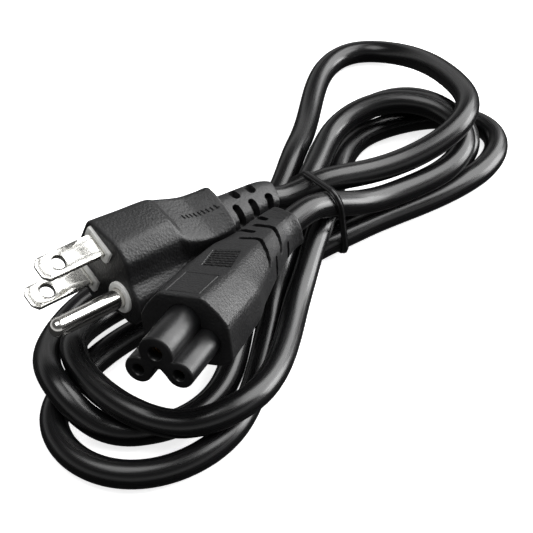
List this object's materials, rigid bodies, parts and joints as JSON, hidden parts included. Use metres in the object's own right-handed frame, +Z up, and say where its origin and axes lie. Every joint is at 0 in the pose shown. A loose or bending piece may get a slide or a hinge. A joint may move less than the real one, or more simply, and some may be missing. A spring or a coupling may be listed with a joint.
{
  "type": "cloverleaf power cord",
  "caption": "Coiled black power cord with a three-pin wall plug and a cloverleaf appliance connector, held by a tie.",
  "frame": {"origin": "middle of the bounding box on the floor, directly under the coiled cord", "axes": "+Z up from the floor the coil lies on; +Y along the coil's length, from the near loops under the plug and connector to the far loops; +X to the right of someone who looks along +Y"},
  "size_m": [0.1274, 0.1738, 0.0415],
  "materials": {
    "black_pvc": "fine spark-eroded matte",
    "black_sheath": "soft gloss",
    "nickel_plate": "bright nickel plate",
    "white_insert": "satin moulded",
    "black_insert": "satin moulded",
    "contact_metal": "plain sprung strip",
    "tie_ribbon": "satin, with a ridge over the wire"
  },
  "bodies": {
    "root": {"plug_body": "black_pvc", "pin_carrier": "white_insert", "blade_line": "nickel_plate", "blade_neutral": "nickel_plate", "ground_pin": "nickel_plate", "connector_body": "black_pvc", "connector_nose": "black_insert", "contact_line": "contact_metal", "contact_neutral": "contact_metal", "contact_earth": "contact_metal", "power_cord": "black_sheath", "twist_tie": "tie_ribbon"}
  },
  "joints": []
}
